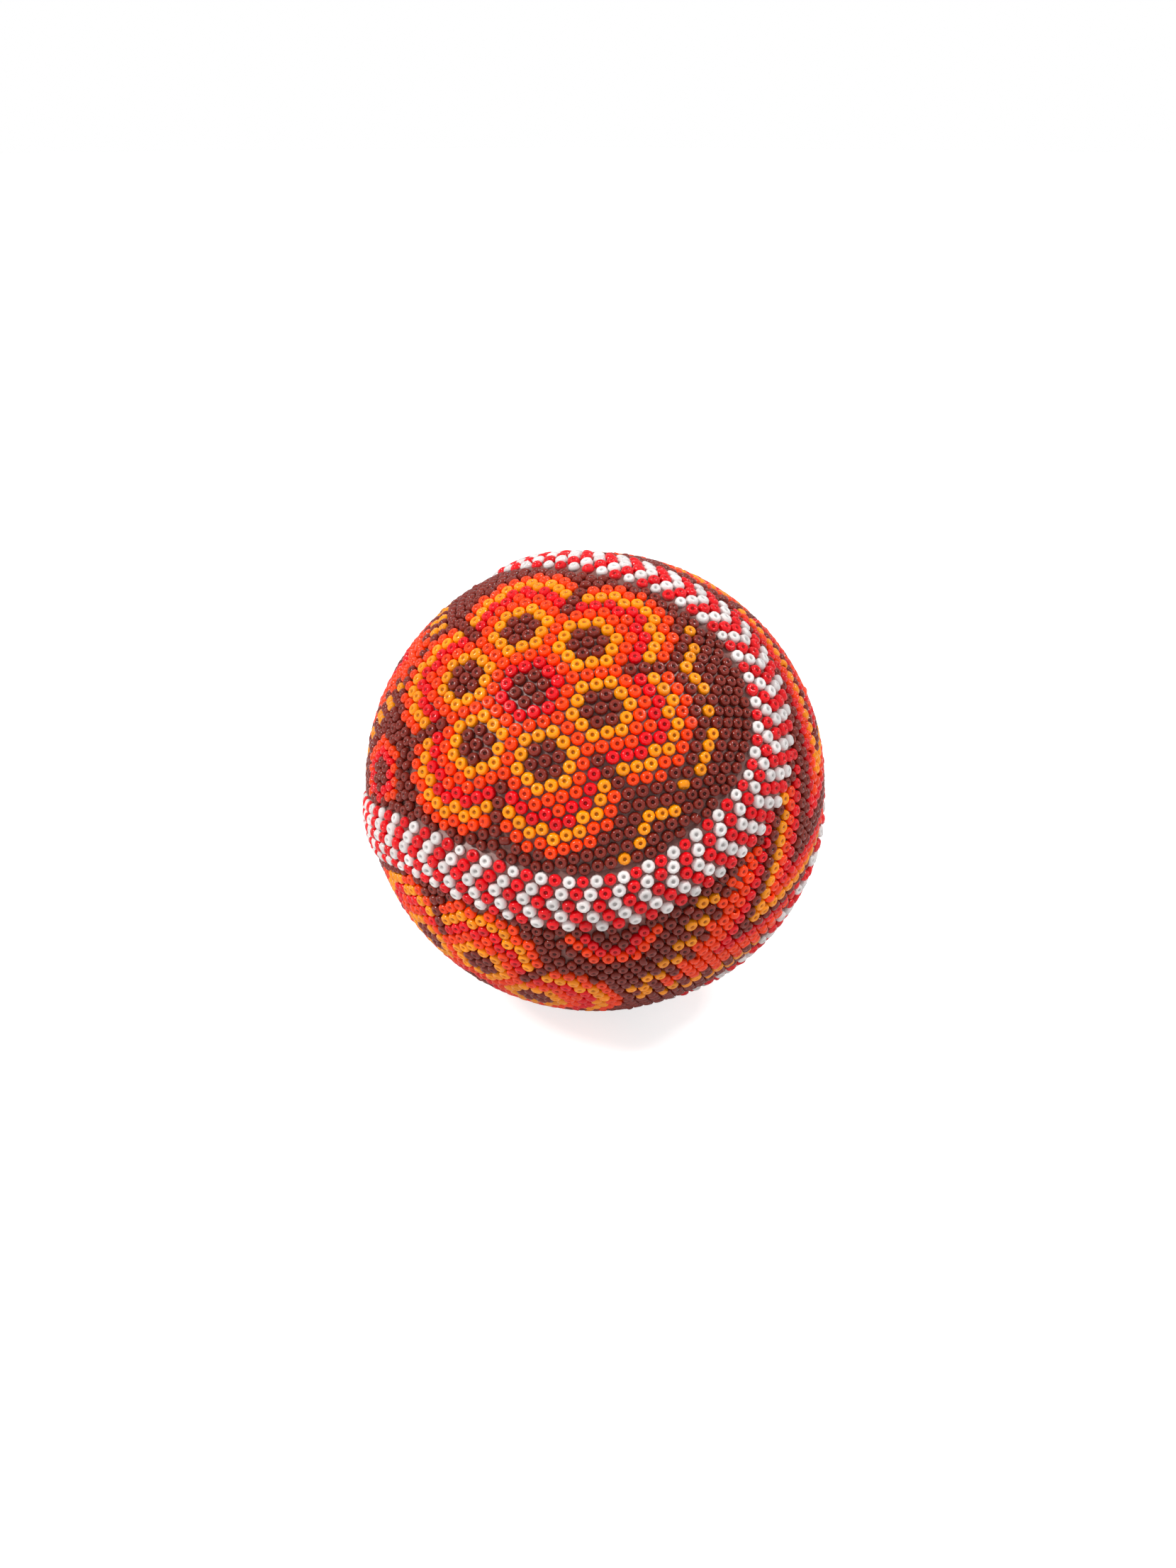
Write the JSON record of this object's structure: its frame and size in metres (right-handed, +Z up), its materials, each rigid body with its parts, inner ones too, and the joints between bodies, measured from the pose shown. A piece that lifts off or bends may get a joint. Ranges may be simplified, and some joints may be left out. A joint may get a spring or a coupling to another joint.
{
  "type": "beaded ball",
  "caption": "Decorative ball covered in glass seed beads pressed into beeswax over a stitched leather ball, with a raised chevron band along the seam and a six-petalled flower on each lobe.",
  "frame": {"origin": "middle of the small flat that the ball stands on, straight below the ball's centre", "axes": "+Z up as the ball stands; the front, seen along +Y, is the lobe whose flower faces the viewer"},
  "size_m": [0.0807, 0.0806, 0.0805],
  "materials": {
    "cork": "composition cork, matt",
    "black_rubber": "moulded",
    "red_rubber": "moulded",
    "wool_yarn": "tightly wound wool yarn",
    "fine_yarn": "tightly wound fine yarn",
    "cover_leather": "smooth, off-white",
    "seam_thread": "waxed red thread",
    "beeswax": "beeswax mixed with resin, pressed by hand, pinkish grey and slightly translucent",
    "band_bead_glass": "opaque glossy glass seed beads, white and red in chevrons",
    "heart_bead_glass": "opaque glossy glass seed beads, brown inside red",
    "petal_bead_glass": "opaque glossy glass seed beads, brown, yellow, orange and red in rings",
    "field_bead_glass": "opaque glossy glass seed beads, brown with yellow, orange and red lines"
  },
  "bodies": {
    "root": {"band_beads": "band_bead_glass", "black_rubber_lower": "black_rubber", "black_rubber_upper": "black_rubber", "cork_core": "cork", "fine_yarn_winding": "fine_yarn", "flower_a1_heart": "heart_bead_glass", "flower_a1_petal_1": "petal_bead_glass", "flower_a1_petal_2": "petal_bead_glass", "flower_a1_petal_3": "petal_bead_glass", "flower_a1_petal_4": "petal_bead_glass", "flower_a1_petal_5": "petal_bead_glass", "flower_a1_petal_6": "petal_bead_glass", "flower_a2_heart": "heart_bead_glass", "flower_a2_petal_1": "petal_bead_glass", "flower_a2_petal_2": "petal_bead_glass", "flower_a2_petal_3": "petal_bead_glass", "flower_a2_petal_4": "petal_bead_glass", "flower_a2_petal_5": "petal_bead_glass", "flower_a2_petal_6": "petal_bead_glass", "flower_b1_heart": "heart_bead_glass", "flower_b1_petal_1": "petal_bead_glass", "flower_b1_petal_2": "petal_bead_glass", "flower_b1_petal_3": "petal_bead_glass", "flower_b1_petal_4": "petal_bead_glass", "flower_b1_petal_5": "petal_bead_glass", "flower_b1_petal_6": "petal_bead_glass", "flower_b2_heart": "heart_bead_glass", "flower_b2_petal_1": "petal_bead_glass", "flower_b2_petal_2": "petal_bead_glass", "flower_b2_petal_3": "petal_bead_glass", "flower_b2_petal_4": "petal_bead_glass", "flower_b2_petal_5": "petal_bead_glass", "flower_b2_petal_6": "petal_bead_glass", "leather_cover_a": "cover_leather", "leather_cover_b": "cover_leather", "lobe_a1_field": "field_bead_glass", "lobe_a2_field": "field_bead_glass", "lobe_b1_field": "field_bead_glass", "lobe_b2_field": "field_bead_glass", "neck_a_field": "field_bead_glass", "neck_b_field": "field_bead_glass", "pill_gasket": "red_rubber", "red_rubber_lower": "red_rubber", "red_rubber_upper": "red_rubber", "seam_thread": "seam_thread", "wax_band": "beeswax", "wax_panel_a": "beeswax", "wax_panel_b": "beeswax", "wool_winding_inner": "wool_yarn", "wool_winding_middle": "wool_yarn", "wool_winding_outer": "wool_yarn"}
  },
  "joints": []
}
